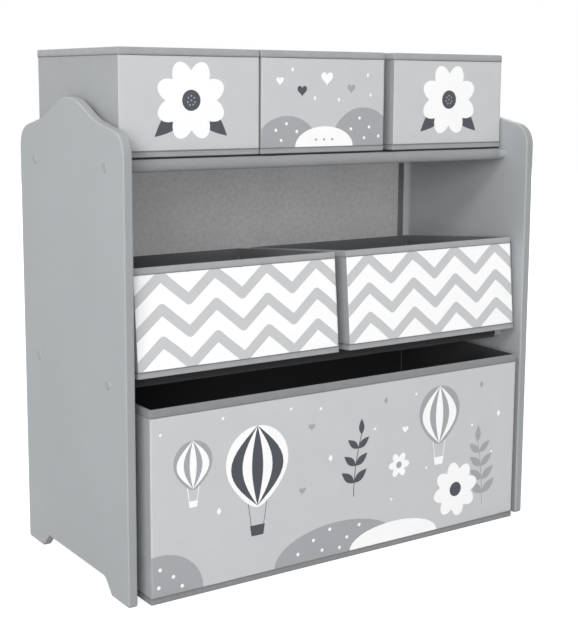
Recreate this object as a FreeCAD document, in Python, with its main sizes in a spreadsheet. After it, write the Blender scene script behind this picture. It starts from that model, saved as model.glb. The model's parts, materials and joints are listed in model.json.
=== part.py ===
"""Toy storage organizer: two gabled side panels joined by four cross tubes, fabric shelf slings, and six open bins.

Millimetres, +X to the right, +Y to the back, +Z up. The origin is on the floor, midway between the side panels.
"""

import FreeCAD, Part
import math
import os
import re
import Sketcher

# The driving dimensions, in millimetres and degrees.
SIZES = {
    # side panels
    "frame_width": 640,
    "frame_depth": 300,
    "panel_thickness": 12,
    "panel_edge_radius": 2,
    "shoulder_rise": 38.5,
    "shoulder_radius": 30,
    "gable_half_width": 72.5,
    "gable_hollow_rise": 16,
    "gable_hollow_radius": 120,
    "gable_peak_rise": 35.5,
    "gable_peak_radius": 84,
    "foot_length": 46.5,
    "foot_slope": 18,
    "foot_corner_radius": 3.5,
    "recess_height": 19,
    "recess_radius": 14,
    # cross tubes and what holds them
    "tube_inset": 48,
    "tube_diameter": 13,
    "tube_wall": 1,
    "insert_length": 24,
    "insert_clearance": 0.1,
    "bolt_diameter": 6,
    "bolt_length": 30,
    "bolt_clearance": 0.3,
    "thread_clearance": 0.1,
    "head_diameter": 10,
    "head_height": 3.2,
    "head_clearance": 0.4,
    "head_recess_depth": 4,
    "key_socket_width": 4.6,
    "key_socket_depth": 2.4,
    "cap_diameter": 12.5,
    "cap_height": 1.3,
    "cap_bevel": 0.9,
    "cap_peg_diameter": 3.8,
    "cap_peg_length": 2.2,
    # shelf slings and back panel
    "fabric_thickness": 1,
    "sleeve_clearance": 0.1,
    "sling_side_gap": 12.5,
    "sling_tail": 3,
    "middle_shelf_tilt": 5.2,
    "back_side_gap": 9,
    "back_binding_width": 11,
    "back_binding_thickness": 1.6,
    # tiers
    "large_bin_headroom": 23,
    "open_compartment_height": 127.5,
    "rest_gap": 0.3,
    # bins, all of one make
    "binding_thickness": 0.8,
    "print_thickness": 0.4,
    "board_thickness": 3,
    "board_clearance": 1,
    "least_corner_radius": 0.4,
    # small bins
    "small_bin_height": 131,
    "small_bin_depth": 234,
    "small_bin_setback": 5,
    "small_bin_wall": 2.5,
    "small_bin_corner": 2,
    "small_bin_top_binding": 9.5,
    "small_bin_bottom_binding": 9.5,
    "small_bins_left_gap": 9,
    "small_bins_inner_left_gap": 2,
    "small_bins_inner_right_gap": 15.5,
    "small_bins_right_gap": 2,
    # medium bins
    "medium_bin_height": 131,
    "medium_bin_depth": 235,
    "medium_bin_back_gap": 1.5,
    "medium_bin_wall": 2.5,
    "medium_bin_corner": 2,
    "medium_bin_top_binding": 9,
    "medium_bin_bottom_binding": 8.5,
    "medium_bins_left_gap": 8,
    "medium_bins_inner_gap": 17,
    "medium_bins_right_gap": 7,
    # large bin
    "large_bin_height": 240,
    "large_bin_depth": 257,
    "large_bin_overhang": 7,
    "large_bin_wall": 3,
    "large_bin_corner": 2.5,
    "large_bin_top_binding": 10.5,
    "large_bin_bottom_binding": 8.5,
    "large_bin_side_gap": 14,
}

# Sizes and places that follow from the driving dimensions.
FORMULAS = {
    "bay_width": "frame_width - 2 * panel_thickness",
    "tube_spacing": "frame_depth - 2 * tube_inset",
    "lower_tube_level": "large_bin_height + large_bin_headroom",
    "upper_tube_level": "lower_tube_level + medium_bin_height + open_compartment_height",
    "shoulder_level": "upper_tube_level + shoulder_rise",
    "gable_hollow_level": "shoulder_level + gable_hollow_rise",
    "gable_peak_level": "gable_hollow_level + gable_peak_rise",
    "foot_end": "frame_depth / 2 - foot_length",
    "recess_end": "foot_end - foot_slope",
    "tube_radius": "tube_diameter / 2",
    "tube_bore_radius": "tube_radius - tube_wall",
    "sleeve_radius": "tube_radius + sleeve_clearance + fabric_thickness",
    "sling_width": "bay_width - 2 * sling_side_gap",
    "rear_tube_run": "tube_spacing * cos(middle_shelf_tilt)",
    "rear_tube_climb": "tube_spacing * sin(middle_shelf_tilt)",
    "back_plane": "tube_spacing / 2 + sleeve_radius",
    "back_width": "bay_width - 2 * back_side_gap",
    "small_bins_gaps": "small_bins_left_gap + small_bins_inner_left_gap + small_bins_inner_right_gap"
    " + small_bins_right_gap",
    "small_bin_width": "(bay_width - small_bins_gaps) / 3",
    "medium_bins_gaps": "medium_bins_left_gap + medium_bins_inner_gap + medium_bins_right_gap",
    "medium_bin_width": "(bay_width - medium_bins_gaps) / 2",
    "large_bin_width": "bay_width - 2 * large_bin_side_gap",
    "medium_bin_rear": "rear_tube_run - sleeve_radius - medium_bin_back_gap",
    "medium_bin_front": "medium_bin_rear - medium_bin_depth",
    "medium_bin_lift": "sleeve_radius + rest_gap",
}

document = FreeCAD.newDocument("organizer")
sheet = document.addObject("Spreadsheet::Sheet", "Sizes")
for row, (alias, number) in enumerate(SIZES.items(), start=1):
    sheet.set(f"A{row}", alias)
    sheet.set(f"B{row}", str(number))
    sheet.setAlias(f"B{row}", alias)
document.recompute()

nodes = []


# ---------------------------------------------------------------- formulas


def formula(text):
    """The text as an expression on the sheet, with each named formula written out."""

    def spell(match):
        word = match.group()
        if word in FORMULAS:
            return f"({formula(FORMULAS[word])})"
        return f"Sizes.{word}" if word in SIZES else word

    return re.sub(r"[a-z_]+", spell, text)


def value(text):
    """The number that the formula gives now."""
    return float(sheet.evalExpression(formula(text)))


def bind(thing, prop, text):
    """Ties a property to the sheet."""
    thing.setExpression(prop, formula(text))


def place(thing, x="0", y="0", z="0"):
    """Ties the place of a piece to the sheet."""
    for axis, text in zip("xyz", (x, y, z)):
        bind(thing, f"Placement.Base.{axis}", text)


# ---------------------------------------------------------------- sketches


def new_body(label):
    """An empty body whose label names the piece."""
    body = document.addObject("PartDesign::Body", label)
    body.Label = label
    nodes.append(body)
    return body


def new_sketch(body, plane, offset=None):
    """A sketch on one of the body's own origin planes, moved along the plane's normal by offset."""
    sketch = body.newObject("Sketcher::SketchObject", f"{body.Label}_sketch")
    support = next(one for one in body.Origin.OriginFeatures if one.Role == plane)
    sketch.AttachmentSupport = (support, "")
    sketch.MapMode = "FlatFace"
    if offset:
        bind(sketch, "AttachmentOffset.Base.z", offset)
    return sketch


def pin_point(sketch, geometry, spot, across, up):
    """Ties one point of a shape in the sketch to its distances from the sketch's origin."""
    for kind, text in (("DistanceX", across), ("DistanceY", up)):
        index = sketch.addConstraint(Sketcher.Constraint(kind, -1, 1, geometry, spot, value(text)))
        bind(sketch, f"Constraints[{index}]", text)


def pin_radius(sketch, geometry, radius):
    """Ties the radius of a circle or arc."""
    index = sketch.addConstraint(Sketcher.Constraint("Radius", geometry, value(radius)))
    bind(sketch, f"Constraints[{index}]", radius)


def add_circle(sketch, across, up, radius):
    """A circle about a point."""
    centre = FreeCAD.Vector(value(across), value(up), 0)
    circle = sketch.addGeometry(Part.Circle(centre, FreeCAD.Vector(0, 0, 1), value(radius)))
    pin_point(sketch, circle, 3, across, up)
    pin_radius(sketch, circle, radius)


def add_outline(sketch, corners):
    """A closed outline through corners given anticlockwise as (across, up, radius).

    A corner with a radius becomes an arc that touches both of its sides.
    """
    spots = [FreeCAD.Vector(value(across), value(up), 0) for across, up, _ in corners]
    count = len(corners)
    entries, exits, arcs = [], [], []
    for i, (_, _, radius) in enumerate(corners):
        arrive = (spots[i] - spots[i - 1]).normalize()
        leave = (spots[(i + 1) % count] - spots[i]).normalize()
        if radius is None:
            entries.append(spots[i])
            exits.append(spots[i])
            arcs.append(None)
            continue
        turn = arrive.getAngle(leave)
        left = arrive.cross(leave).z > 0
        size = value(radius)
        reach = size * math.tan(turn / 2)
        entry, leaving = spots[i] - arrive * reach, spots[i] + leave * reach
        aside = FreeCAD.Vector(-arrive.y, arrive.x, 0) * (size if left else -size)
        centre = entry + aside
        first, last = (entry, leaving) if left else (leaving, entry)
        circle = Part.Circle(centre, FreeCAD.Vector(0, 0, 1), size)
        arcs.append((Part.ArcOfCircle(circle, circle.parameter(first), circle.parameter(last)), left))
        entries.append(entry)
        exits.append(leaving)
    lines = [
        sketch.addGeometry(Part.LineSegment(exits[i], entries[(i + 1) % count]))
        for i in range(count)
    ]
    for i, (across, up, radius) in enumerate(corners):
        before, after = lines[i - 1], lines[i]
        if radius is None:
            sketch.addConstraint(Sketcher.Constraint("Coincident", before, 2, after, 1))
            pin_point(sketch, after, 1, across, up)
            continue
        shape, left = arcs[i]
        arc = sketch.addGeometry(shape)
        corner = sketch.addGeometry(Part.Point(spots[i]), True)
        pin_point(sketch, corner, 1, across, up)
        start, end = (1, 2) if left else (2, 1)
        sketch.addConstraint(Sketcher.Constraint("Tangent", before, 2, arc, start))
        sketch.addConstraint(Sketcher.Constraint("Tangent", after, 1, arc, end))
        sketch.addConstraint(Sketcher.Constraint("PointOnObject", corner, 1, before))
        sketch.addConstraint(Sketcher.Constraint("PointOnObject", corner, 1, after))
        pin_radius(sketch, arc, radius)


# ---------------------------------------------------------------- features


def pad(body, sketch, length, symmetric=False):
    """Thickens a sketch along its normal, or to both sides alike."""
    feature = body.newObject("PartDesign::Pad", f"{body.Label}_pad")
    feature.Profile = sketch
    bind(feature, "Length", length)
    if symmetric:
        feature.SideType = "Symmetric"
    document.recompute()
    return feature


def pocket(body, sketch, length=None, reverse=False, symmetric=False):
    """Cuts a sketch out of the body, right through if no length is given, and makes sure that it cut."""
    before = body.Shape.Volume
    feature = body.newObject("PartDesign::Pocket", f"{body.Label}_pocket")
    feature.Profile = sketch
    feature.Reversed = reverse
    if symmetric:
        feature.SideType = "Symmetric"
    if length:
        bind(feature, "Length", length)
    else:
        feature.Type = "ThroughAll"
    document.recompute()
    if body.Shape.Volume >= before:
        raise RuntimeError(f"{body.Label}: the pocket cuts nothing")


def block(label, x, y, z, width, depth, height):
    """A plain block from its low corner."""
    box = document.addObject("Part::Box", label)
    box.Label = label
    place(box, x, y, z)
    bind(box, "Length", width)
    bind(box, "Width", depth)
    bind(box, "Height", height)
    return box


def group(label, pieces):
    """Separate solids of one kind that share a node."""
    compound = document.addObject("Part::Compound", label)
    compound.Label = label
    compound.Links = pieces
    nodes.append(compound)


# ---------------------------------------------------------------- side panels and tubes

TUBES = [
    ("upper_front_tube", "-tube_spacing / 2", "upper_tube_level"),
    ("upper_rear_tube", "tube_spacing / 2", "upper_tube_level"),
    ("lower_front_tube", "-tube_spacing / 2", "lower_tube_level"),
    ("lower_rear_tube", "tube_spacing / 2", "lower_tube_level"),
]
SIDES = [("left", -1), ("right", 1)]
FLAT = 1e-6
KEY_SOCKET_SIDES = 6


def make_side_panel(label, side):
    """A board with a gabled top and two feet.

    Its outer face lies in the sketch plane, so the right one is turned half round.
    """
    body = new_body(label)
    body.Placement.Rotation = FreeCAD.Rotation(FreeCAD.Vector(0, 0, 1), 0 if side < 0 else 180)
    place(body, f"{side} * frame_width / 2")
    sketch = new_sketch(body, "YZ_Plane")
    add_outline(
        sketch,
        [
            ("-frame_depth / 2", "0", "foot_corner_radius"),
            ("-foot_end", "0", "foot_corner_radius"),
            ("-recess_end", "recess_height", "recess_radius"),
            ("recess_end", "recess_height", "recess_radius"),
            ("foot_end", "0", "foot_corner_radius"),
            ("frame_depth / 2", "0", "foot_corner_radius"),
            ("frame_depth / 2", "shoulder_level", "shoulder_radius"),
            ("gable_half_width", "gable_hollow_level", "gable_hollow_radius"),
            ("0", "gable_peak_level", "gable_peak_radius"),
            ("-gable_half_width", "gable_hollow_level", "gable_hollow_radius"),
            ("-frame_depth / 2", "shoulder_level", "shoulder_radius"),
        ],
    )
    board = pad(body, sketch, "panel_thickness")
    rims = [
        f"Edge{i}" for i, edge in enumerate(board.Shape.Edges, start=1) if edge.BoundBox.XLength < FLAT
    ]
    rounding = body.newObject("PartDesign::Fillet", f"{label}_edges")
    rounding.Base = (board, rims)
    bind(rounding, "Radius", "panel_edge_radius")
    document.recompute()
    holes = new_sketch(body, "YZ_Plane")
    recesses = new_sketch(body, "YZ_Plane")
    for _, y, z in TUBES:
        add_circle(holes, y, z, "(bolt_diameter + bolt_clearance) / 2")
        add_circle(recesses, y, z, "(head_diameter + head_clearance) / 2")
    pocket(body, holes, reverse=True)
    pocket(body, recesses, "head_recess_depth", reverse=True)


def make_tube(label, y, z):
    """A steel tube that runs from one panel to the other."""
    body = new_body(label)
    place(body, "0", y, z)
    sketch = new_sketch(body, "YZ_Plane")
    add_circle(sketch, "0", "0", "tube_radius")
    add_circle(sketch, "0", "0", "tube_bore_radius")
    pad(body, sketch, "bay_width", symmetric=True)


def round_bar(label, side, y, z, inset, radius, length):
    """A bar along X that starts inset from the panel's outer face and runs inwards."""
    bar = document.addObject("Part::Cylinder", label)
    bar.Placement.Rotation = FreeCAD.Rotation(FreeCAD.Vector(0, 1, 0), -90 * side)
    place(bar, f"{side} * (frame_width / 2 - ({inset}))", y, z)
    bind(bar, "Radius", radius)
    bind(bar, "Height", length)
    return bar


def make_insert(side, y, z):
    """A threaded plug in the end of a tube."""
    plug = round_bar(
        "plug", side, y, z, "panel_thickness", "tube_bore_radius - insert_clearance", "insert_length"
    )
    bore = round_bar(
        "bore", side, y, z, "panel_thickness", "bolt_diameter / 2 + thread_clearance", "insert_length"
    )
    insert = document.addObject("Part::Cut", "insert")
    insert.Base = plug
    insert.Tool = bore
    return insert


def make_bolt(side, y, z):
    """A bolt whose head lies in the panel's recess, with a hexagonal key socket."""
    head_top = "head_recess_depth - head_height"
    head = round_bar("head", side, y, z, head_top, "head_diameter / 2", "head_height")
    shank = round_bar("shank", side, y, z, "head_recess_depth", "bolt_diameter / 2", "bolt_length")
    solid = document.addObject("Part::Fuse", "head_and_shank")
    solid.Base = head
    solid.Tool = shank
    socket = document.addObject("Part::Prism", "socket")
    socket.Polygon = KEY_SOCKET_SIDES
    socket.Placement.Rotation = FreeCAD.Rotation(FreeCAD.Vector(0, 1, 0), -90 * side)
    place(socket, f"{side} * (frame_width / 2 - ({head_top}))", y, z)
    bind(socket, "Circumradius", f"key_socket_width / 2 / cos(180 / {KEY_SOCKET_SIDES})")
    bind(socket, "Height", "key_socket_depth")
    bolt = document.addObject("Part::Cut", "bolt")
    bolt.Base = solid
    bolt.Tool = socket
    return bolt


def make_cap(side, y, z):
    """A bevelled cover cap on the panel's face, with a peg in the bolt's key socket."""
    disc = document.addObject("Part::Cone", "disc")
    disc.Placement.Rotation = FreeCAD.Rotation(FreeCAD.Vector(0, 1, 0), 90 * side)
    place(disc, f"{side} * frame_width / 2", y, z)
    bind(disc, "Radius1", "cap_diameter / 2")
    bind(disc, "Radius2", "cap_diameter / 2 - cap_bevel")
    bind(disc, "Height", "cap_height")
    peg = round_bar("peg", side, y, z, "0", "cap_peg_diameter / 2", "cap_peg_length")
    cap = document.addObject("Part::Fuse", "cap")
    cap.Base = disc
    cap.Tool = peg
    return cap


# ---------------------------------------------------------------- slings and back panel


def make_sling(label, level, sheet_corners, rear_tube, tilt=None):
    """A fabric shelf with a sleeve round each of its two tubes.

    It is drawn about the front tube's axis, and a tilted one is turned about that axis.
    """
    body = new_body(label)
    place(body, "0", "-tube_spacing / 2", level)
    if tilt:
        body.Placement.Rotation = FreeCAD.Rotation(FreeCAD.Vector(1, 0, 0), -value(tilt))
        bind(body, "Placement.Rotation.Angle", f"-{tilt}")
    sheet_outline = new_sketch(body, "YZ_Plane")
    add_outline(sheet_outline, [(across, up, None) for across, up in sheet_corners])
    pad(body, sheet_outline, "sling_width", symmetric=True)
    tubes = [("0", "0"), rear_tube]
    for tube in tubes:
        sleeve = new_sketch(body, "YZ_Plane")
        add_circle(sleeve, *tube, "sleeve_radius")
        pad(body, sleeve, "sling_width", symmetric=True)
    bores = new_sketch(body, "YZ_Plane")
    for tube in tubes:
        add_circle(bores, *tube, "tube_radius + sleeve_clearance")
    pocket(body, bores, "sling_width", symmetric=True)


def make_slings():
    """The level top shelf, and the middle shelf, which falls to the back and ends under its rear tube."""
    top, under = "sleeve_radius", "sleeve_radius - fabric_thickness"
    make_sling(
        "top_shelf_sling",
        "upper_tube_level",
        [("0", under), ("tube_spacing", under), ("tube_spacing", top), ("0", top)],
        ("tube_spacing", "0"),
    )
    tail = "medium_bin_rear + sling_tail"
    seam = "rear_tube_climb - sleeve_radius"
    make_sling(
        "middle_shelf_sling",
        "lower_tube_level",
        [
            ("0", under),
            (tail, under),
            ("rear_tube_run", seam),
            ("rear_tube_run", f"{seam} + fabric_thickness"),
            (tail, top),
            ("0", top),
        ],
        ("rear_tube_run", "rear_tube_climb"),
        "middle_shelf_tilt",
    )


def make_back():
    """The fabric behind the open compartment, with a binding down each side."""
    height = "upper_tube_level - lower_tube_level"
    cloth_width = "back_width - 2 * back_binding_width"
    cloth = block(
        "back_panel",
        f"-({cloth_width}) / 2",
        "back_plane",
        "lower_tube_level",
        cloth_width,
        "fabric_thickness",
        height,
    )
    nodes.append(cloth)
    for name, side in SIDES:
        low_edge = "-back_width / 2" if side < 0 else "back_width / 2 - back_binding_width"
        strip = block(
            f"back_{name}_binding",
            low_edge,
            "back_plane",
            "lower_tube_level",
            "back_binding_width",
            "back_binding_thickness",
            height,
        )
        nodes.append(strip)


# ---------------------------------------------------------------- bins


class Bin:
    """An open-topped box, drawn from the middle of its front bottom edge, with +Y to its back."""

    def __init__(self, name, size, x, y, z, tilt=None):
        self.name, self.size, self.spot, self.tilt = name, size, (x, y, z), tilt
        self.width, self.depth, self.height = (f"{size}_{word}" for word in ("width", "depth", "height"))
        self.wall = f"{size}_wall"

    def new_piece(self, word):
        """An empty body for one piece of the bin, set where the bin stands."""
        body = new_body(f"{self.name}_{word}")
        if self.tilt:
            body.Placement.Rotation = FreeCAD.Rotation(FreeCAD.Vector(1, 0, 0), -value(self.tilt))
            bind(body, "Placement.Rotation.Angle", f"-{self.tilt}")
        place(body, *self.spot)
        return body

    def add_plan(self, sketch, inset):
        """The bin's rounded plan, drawn in from its outside by inset."""
        corner = f"max({self.size}_corner - ({inset}); least_corner_radius)"
        right = f"{self.width} / 2 - ({inset})"
        left = f"-({right})"
        front, back = inset, f"{self.depth} - ({inset})"
        add_outline(
            sketch,
            [(left, front, corner), (right, front, corner), (right, back, corner), (left, back, corner)],
        )

    def make_shell(self):
        """Four walls and a floor, inside the bindings."""
        body = self.new_piece("shell")
        outside = new_sketch(body, "XY_Plane")
        self.add_plan(outside, "binding_thickness")
        pad(body, outside, f"{self.height} - binding_thickness")
        inside = new_sketch(body, "XY_Plane", self.wall)
        self.add_plan(inside, f"binding_thickness + {self.wall}")
        pocket(body, inside, reverse=True)

    def make_board(self):
        """A loose stiffening board that lies on the floor of the bin."""
        body = self.new_piece("base_board")
        plan = new_sketch(body, "XY_Plane", f"{self.wall} + rest_gap")
        self.add_plan(plan, f"binding_thickness + {self.wall} + board_clearance")
        pad(body, plan, "board_thickness")

    def make_print(self):
        """The printed face on the front wall, between the two bindings."""
        body = self.new_piece("front_print")
        face = new_sketch(body, "XZ_Plane", "-binding_thickness")
        right = f"{self.width} / 2 - {self.size}_corner"
        low, high = f"{self.size}_bottom_binding", f"{self.height} - {self.size}_top_binding"
        add_outline(
            face,
            [(f"-({right})", low, None), (right, low, None), (right, high, None), (f"-({right})", high, None)],
        )
        pad(body, face, "print_thickness")

    def make_top_binding(self):
        """Tape folded over the rim, so the wall's top lies in its channel."""
        body = self.new_piece("top_binding")
        height = f"{self.size}_top_binding"
        low = f"{self.height} - {height}"
        tape = new_sketch(body, "XY_Plane", low)
        self.add_plan(tape, "0")
        self.add_plan(tape, f"2 * binding_thickness + {self.wall}")
        pad(body, tape, height)
        channel = new_sketch(body, "XY_Plane", low)
        self.add_plan(channel, "binding_thickness")
        self.add_plan(channel, f"binding_thickness + {self.wall}")
        pocket(body, channel, f"{height} - binding_thickness", reverse=True)

    def make_bottom_binding(self):
        """Tape round the foot of the walls."""
        body = self.new_piece("bottom_binding")
        tape = new_sketch(body, "XY_Plane")
        self.add_plan(tape, "0")
        self.add_plan(tape, "binding_thickness")
        pad(body, tape, f"{self.size}_bottom_binding")

    def make(self):
        """Every piece of the bin."""
        self.make_shell()
        self.make_board()
        self.make_print()
        self.make_top_binding()
        self.make_bottom_binding()


def list_bins():
    """The six bins where they stand: three on the top shelf, two on the tilted one, one on the floor."""
    small_left = "-bay_width / 2 + small_bins_left_gap + small_bin_width / 2"
    small_middle = f"{small_left} + small_bin_width + small_bins_inner_left_gap"
    small_right = f"{small_middle} + small_bin_width + small_bins_inner_right_gap"
    small_front = "-tube_spacing / 2 + small_bin_setback"
    small_floor = "upper_tube_level + sleeve_radius + rest_gap"
    medium_left = "-bay_width / 2 + medium_bins_left_gap + medium_bin_width / 2"
    medium_right = f"{medium_left} + medium_bin_width + medium_bins_inner_gap"
    medium_front = (
        "-tube_spacing / 2 + medium_bin_front * cos(middle_shelf_tilt)"
        " + medium_bin_lift * sin(middle_shelf_tilt)"
    )
    medium_floor = (
        "lower_tube_level - medium_bin_front * sin(middle_shelf_tilt)"
        " + medium_bin_lift * cos(middle_shelf_tilt)"
    )
    large_front = "-frame_depth / 2 - large_bin_overhang"
    return [
        Bin("small_left", "small_bin", small_left, small_front, small_floor),
        Bin("small_middle", "small_bin", small_middle, small_front, small_floor),
        Bin("small_right", "small_bin", small_right, small_front, small_floor),
        Bin("medium_left", "medium_bin", medium_left, medium_front, medium_floor, "middle_shelf_tilt"),
        Bin("medium_right", "medium_bin", medium_right, medium_front, medium_floor, "middle_shelf_tilt"),
        Bin("large", "large_bin", "0", large_front, "0"),
    ]


# ---------------------------------------------------------------- the whole organizer

for side_name, side_sign in SIDES:
    make_side_panel(f"{side_name}_side_panel", side_sign)
for tube_name, tube_y, tube_z in TUBES:
    make_tube(tube_name, tube_y, tube_z)
group("tube_end_inserts", [make_insert(sign, y, z) for _, sign in SIDES for _, y, z in TUBES])
for side_name, side_sign in SIDES:
    group(f"{side_name}_panel_bolts", [make_bolt(side_sign, y, z) for _, y, z in TUBES])
    group(f"{side_name}_bolt_caps", [make_cap(side_sign, y, z) for _, y, z in TUBES])
make_slings()
make_back()
for one_bin in list_bins():
    one_bin.make()

document.recompute()
for thing in document.Objects:
    if "Invalid" in thing.State or "Error" in thing.State:
        raise RuntimeError(f"{thing.Label} failed: {thing.State}")
for node in nodes:
    if node.Shape.isNull() or not node.Shape.isValid():
        raise RuntimeError(f"{node.Label} has no valid shape")

os.makedirs("parts", exist_ok=True)
for node in nodes:
    node.Shape.exportStep(f"parts/{node.Label}.step")
    box = node.Shape.BoundBox
    print(
        f"{node.Label}: {len(node.Shape.Solids)} solid(s), {node.Shape.Volume:.0f} mm3, "
        f"x {box.XMin:.1f} {box.XMax:.1f}, y {box.YMin:.1f} {box.YMax:.1f}, z {box.ZMin:.1f} {box.ZMax:.1f}"
    )
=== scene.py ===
"""Looks of the toy storage organizer: painted panels, fabric shelves, and bins with printed fronts.

Metres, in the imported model's frame: +X to the right, +Y to the back, +Z up.
"""

import json
import math

import bmesh
import bpy
from mathutils import Matrix, Vector, noise
from mathutils.geometry import delaunay_2d_cdt


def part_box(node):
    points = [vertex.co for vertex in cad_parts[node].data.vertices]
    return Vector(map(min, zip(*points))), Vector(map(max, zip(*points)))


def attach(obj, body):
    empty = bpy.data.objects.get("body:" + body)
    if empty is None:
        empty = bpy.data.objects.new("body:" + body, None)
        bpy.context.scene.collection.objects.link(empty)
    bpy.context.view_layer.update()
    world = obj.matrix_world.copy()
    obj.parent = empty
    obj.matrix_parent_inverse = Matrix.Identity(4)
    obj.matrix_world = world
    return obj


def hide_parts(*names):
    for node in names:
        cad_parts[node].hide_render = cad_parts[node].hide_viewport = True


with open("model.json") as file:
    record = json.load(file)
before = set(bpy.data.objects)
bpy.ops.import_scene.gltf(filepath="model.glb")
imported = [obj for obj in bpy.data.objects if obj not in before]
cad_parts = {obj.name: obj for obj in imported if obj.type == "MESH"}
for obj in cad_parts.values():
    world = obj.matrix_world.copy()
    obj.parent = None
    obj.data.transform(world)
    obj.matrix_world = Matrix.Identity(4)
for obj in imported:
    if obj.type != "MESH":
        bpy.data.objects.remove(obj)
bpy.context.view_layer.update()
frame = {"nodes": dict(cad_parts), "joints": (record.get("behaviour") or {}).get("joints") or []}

MM = 0.001
FRAME_BODY = "organizer_frame"

# -------- colours, as sRGB numbers from 0 to 255

PAINT = (169, 172, 174)
TUBE_PAINT = (165, 167, 169)
CAP_PLASTIC = (158, 161, 163)
SIDE_CLOTH = (170, 173, 175)
TAPE = (165, 166, 168)
LARGE_TAPE = (139, 140, 142)
# Painted shade: the dark band where a tape meets the print.
TAPE_SEAM_SHADE = (118, 119, 121)
TAPE_THREAD = (146, 147, 149)
TOP_SHELF_CLOTH = (149, 150, 152)
MIDDLE_SHELF_CLOTH = (46, 46, 48)
# The back cloth also glows with this colour: painted light.
BACK_CLOTH = (139, 139, 139)
# Painted shade: the back's side tapes stand in shade, so they are drawn darker than the other tapes.
BACK_TAPE_SHADE = (112, 114, 116)
SHELF_THREAD = (120, 122, 124)
LARGE_LINING = (54, 54, 55)
OTHER_LINING = (110, 111, 113)
UNDERSIDE_SHADE = (48, 48, 50)
# Painted shade: the dark bottom and rounded foot of the bins' walls.
BOARD_COVER = (36, 36, 38)
PRINT_GROUND = (198, 199, 201)
PRINT_WHITE = (250, 250, 250)
PRINT_MID = (163, 165, 168)
PRINT_DARK = (76, 80, 86)
ZIGZAG_GREY = (197, 198, 200)
INSERT_PLASTIC = (42, 43, 45)
ZINC = (196, 198, 200)
WHITE_LIGHT = (1, 1, 1, 1)


def linear(colour, factor):
    """An sRGB colour, made lighter or darker by a factor, as Blender's linear one."""
    parts = [min(255, c * factor) / 255 for c in colour]
    return (*[c / 12.92 if c <= 0.04045 else ((c + 0.055) / 1.055) ** 2.4 for c in parts], 1.0)


# -------- materials


class Nodes:
    """A material's or world's nodes, with short ways to add to them."""

    def __init__(self, owner, surface):
        owner.use_nodes = True
        self.nodes, self.links = owner.node_tree.nodes, owner.node_tree.links
        self.surface = self.nodes[surface]

    def fill(self, node, inputs):
        """Gives a node's inputs their values, or links them to other nodes' outputs."""
        for key, given in inputs.items():
            if isinstance(given, bpy.types.NodeSocket):
                self.links.new(given, node.inputs[key])
            else:
                node.inputs[key].default_value = given

    def add(self, kind, inputs=None, **settings):
        """A new node."""
        node = self.nodes.new(kind)
        for key, setting in settings.items():
            setattr(node, key, setting)
        self.fill(node, inputs or {})
        return node

    def math(self, operation, first, second=0.0):
        """One sum on two numbers or sockets."""
        return self.add("ShaderNodeMath", {0: first, 1: second}, operation=operation).outputs[0]

    def total(self, *parts):
        """Sockets added up, each given alone or as (socket, share)."""
        out = None
        for part in parts:
            if isinstance(part, tuple):
                part = self.math("MULTIPLY", *part)
            out = part if out is None else self.math("ADD", out, part)
        return out

    def spread(self, factor, low, high, start=0.0, end=1.0):
        """A factor that runs from start to end, as a number from low to high."""
        inputs = {"Value": factor, "From Min": start, "From Max": end, "To Min": low, "To Max": high}
        return self.add("ShaderNodeMapRange", inputs).outputs["Result"]


class Shader(Nodes):
    """A material whose patterns lie in the piece's own space, or on its cloth as laid out flat."""

    def __init__(self, name, roughness, specular, cloth=False, sheen=None, metallic=0.0):
        self.material = bpy.data.materials.new(name)
        super().__init__(self.material, "Principled BSDF")
        self.roughness = roughness
        inputs = {"Roughness": roughness, "Specular IOR Level": specular, "Metallic": metallic}
        if sheen is not None:
            inputs.update({"Sheen Weight": 0.1, "Sheen Roughness": sheen})
        self.fill(self.surface, inputs)
        kind, output = ("ShaderNodeUVMap", "UV") if cloth else ("ShaderNodeTexCoord", "Object")
        self.where = self.add(kind).outputs[output]

    def split(self, vector):
        """A vector's three numbers."""
        return self.add("ShaderNodeSeparateXYZ", {0: vector}).outputs

    def wave(self, run, pitch):
        """A wave from -1 to 1 that repeats with the pitch."""
        return self.math("SINE", self.math("MULTIPLY", run, 2 * math.pi / pitch))

    def threads(self, pitch):
        """Two crossing thread waves."""
        return [self.wave(run, pitch) for run in self.split(self.where)[:2]]

    def cloud(self, scale, detail=3.0, roughness=0.55, where=None):
        """Noise between 0 and 1."""
        vector = self.where if where is None else where
        inputs = {"Vector": vector, "Scale": scale, "Detail": detail, "Roughness": roughness}
        return self.add("ShaderNodeTexNoise", inputs).outputs["Fac"]

    def ramp(self, factor, *stops):
        """Two colours spread over a factor, each with its position."""
        node = self.add("ShaderNodeValToRGB", {"Fac": factor})
        for element, stop in zip(node.color_ramp.elements, stops):
            element.position, element.color = stop
        return node.outputs["Color"]

    def tint(self, factor, colour, contrast):
        """A colour that a factor makes darker and lighter."""
        return self.ramp(factor, (0.25, linear(colour, 1 - contrast)), (0.75, linear(colour, 1 + contrast)))

    def bump(self, height, distance, strength=1.0):
        """A bump of some metres at height 1."""
        inputs = {"Height": height, "Distance": distance, "Strength": strength}
        return self.add("ShaderNodeBump", inputs).outputs["Normal"]

    def finish(self, tint, bump=None, wear=None):
        """Joins colour, bump and wear: a factor, and what it adds to the roughness at 0 and at 1."""
        inputs = {"Base Color": tint}
        if bump is not None:
            inputs["Normal"] = bump
        if wear is not None:
            factor, low, high = wear
            inputs["Roughness"] = self.spread(factor, self.roughness + low, self.roughness + high)
        self.fill(self.surface, inputs)
        return self.material


# Painted shade: how dark the panels' front and rear edges and their roundings are drawn.
FACING_SHADE_TONE = 0.82


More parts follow.
